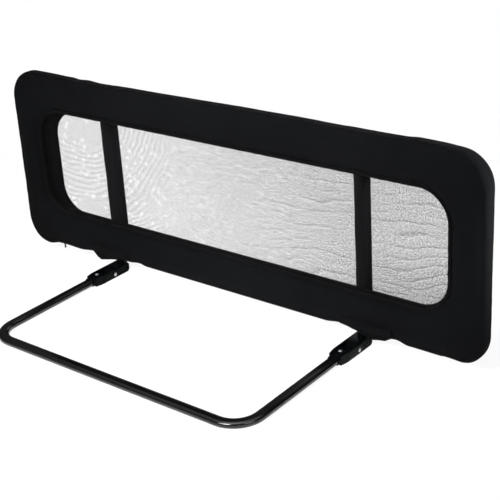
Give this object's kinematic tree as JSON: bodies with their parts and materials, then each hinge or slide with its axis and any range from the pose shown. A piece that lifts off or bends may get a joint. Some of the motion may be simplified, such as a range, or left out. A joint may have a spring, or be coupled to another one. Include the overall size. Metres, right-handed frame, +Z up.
{
  "type": "folding bed guard rail",
  "caption": "Folding bed guard rail: a padded black fabric guard with a mesh window, hinged at its foot to a U-shaped tube base.",
  "frame": {"origin": "on the floor, under the middle of the object's outline", "axes": "+X along the rail to the right as seen from the bed, +Y away from the bed, +Z up"},
  "size_m": [1.2, 0.411, 0.4405],
  "materials": {
    "cover_fabric": "matte woven charcoal black",
    "net": "matte black net",
    "foam": "matte grey foam",
    "coated_tube": "gloss black powder coat",
    "hinge_plastic": "gloss black",
    "fitting_plastic": "matte black",
    "bright_steel": "satin silver",
    "zip_metal": "dark painted zinc"
  },
  "bodies": {
    "base": {"base_tube": "coated_tube", "hinge_housing_left": "hinge_plastic", "hinge_housing_right": "hinge_plastic", "tube_rivet_left": "bright_steel", "tube_rivet_right": "bright_steel", "hinge_pin_left": "bright_steel", "hinge_pin_right": "bright_steel"},
    "guard": {"cover_front": "cover_fabric", "cover_back": "cover_fabric", "window_facing_top": "cover_fabric", "window_facing_bottom": "cover_fabric", "window_facing_left": "cover_fabric", "window_facing_right": "cover_fabric", "post_sleeve_left": "cover_fabric", "post_sleeve_right": "cover_fabric", "hinge_flap_left": "cover_fabric", "hinge_flap_right": "cover_fabric", "zip_tape": "cover_fabric", "window_mesh": "net", "foam_padding": "foam", "post_tube_left": "coated_tube", "post_tube_right": "coated_tube", "end_hoop_left": "coated_tube", "end_hoop_right": "coated_tube", "top_rail_tube": "coated_tube", "bottom_rail_tube": "coated_tube", "hinge_knuckle_left": "hinge_plastic", "post_rivet_left": "coated_tube", "top_fitting_left": "fitting_plastic", "cross_fitting_left": "fitting_plastic", "fitting_screw_top_left": "bright_steel", "fitting_screw_inner_left": "bright_steel", "fitting_screw_outer_left": "bright_steel", "zip_stop_left": "zip_metal", "hinge_knuckle_right": "hinge_plastic", "post_rivet_right": "coated_tube", "top_fitting_right": "fitting_plastic", "cross_fitting_right": "fitting_plastic", "fitting_screw_top_right": "bright_steel", "fitting_screw_inner_right": "bright_steel", "fitting_screw_outer_right": "bright_steel", "zip_stop_right": "zip_metal", "zip_chain": "fitting_plastic"},
    "slider": {"zip_slider": "zip_metal"},
    "puller": {"zip_puller": "zip_metal"}
  },
  "joints": [
    {"name": "guard_fold", "type": "hinge", "parent": "base", "child": "guard", "pos_m": [0, 0.1485, 0.009], "axis": [1, 0, 0], "range_deg": [0, 90]},
    {"name": "zip_slide", "type": "slide", "parent": "guard", "child": "slider", "axis": [1, 0, 0], "range_m": [0, 1]},
    {"name": "zip_pull_swing", "type": "hinge", "parent": "slider", "child": "puller", "pos_m": [-0.5, 0.177, 0.0316], "axis": [0, 1, 0], "range_deg": [-85, 85]}
  ]
}
